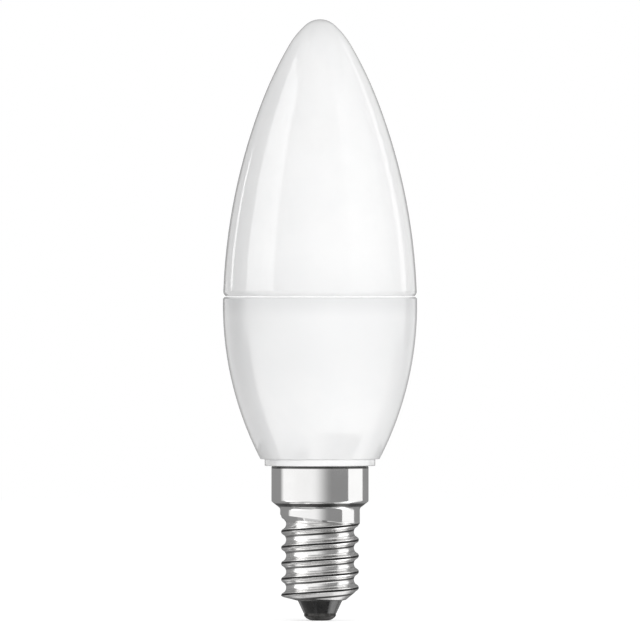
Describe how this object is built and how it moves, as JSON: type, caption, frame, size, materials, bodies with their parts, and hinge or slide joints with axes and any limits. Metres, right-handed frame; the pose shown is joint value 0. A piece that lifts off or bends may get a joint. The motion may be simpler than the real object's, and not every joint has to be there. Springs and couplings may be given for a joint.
{
  "type": "candle bulb",
  "caption": "Candle-shaped lamp with an opal dome, a white tapered housing and a small screw cap with a centre contact.",
  "frame": {"origin": "bottom of the centre contact, on the lamp's axis", "axes": "+Z from the centre contact to the tip of the diffuser, +X to the right in the picture, +Y away from the viewer"},
  "size_m": [0.0344, 0.0344, 0.1065],
  "materials": {
    "opal_plastic": "glossy opal white",
    "white_plastic": "satin white",
    "nickel_plate": "bright nickel plate on thin sheet",
    "black_insulator": "glossy black",
    "contact_metal": "dark tinned metal"
  },
  "bodies": {
    "root": {"diffuser": "opal_plastic", "housing": "white_plastic", "screw_cap": "nickel_plate", "insulator": "black_insulator", "centre_contact": "contact_metal"}
  },
  "joints": []
}
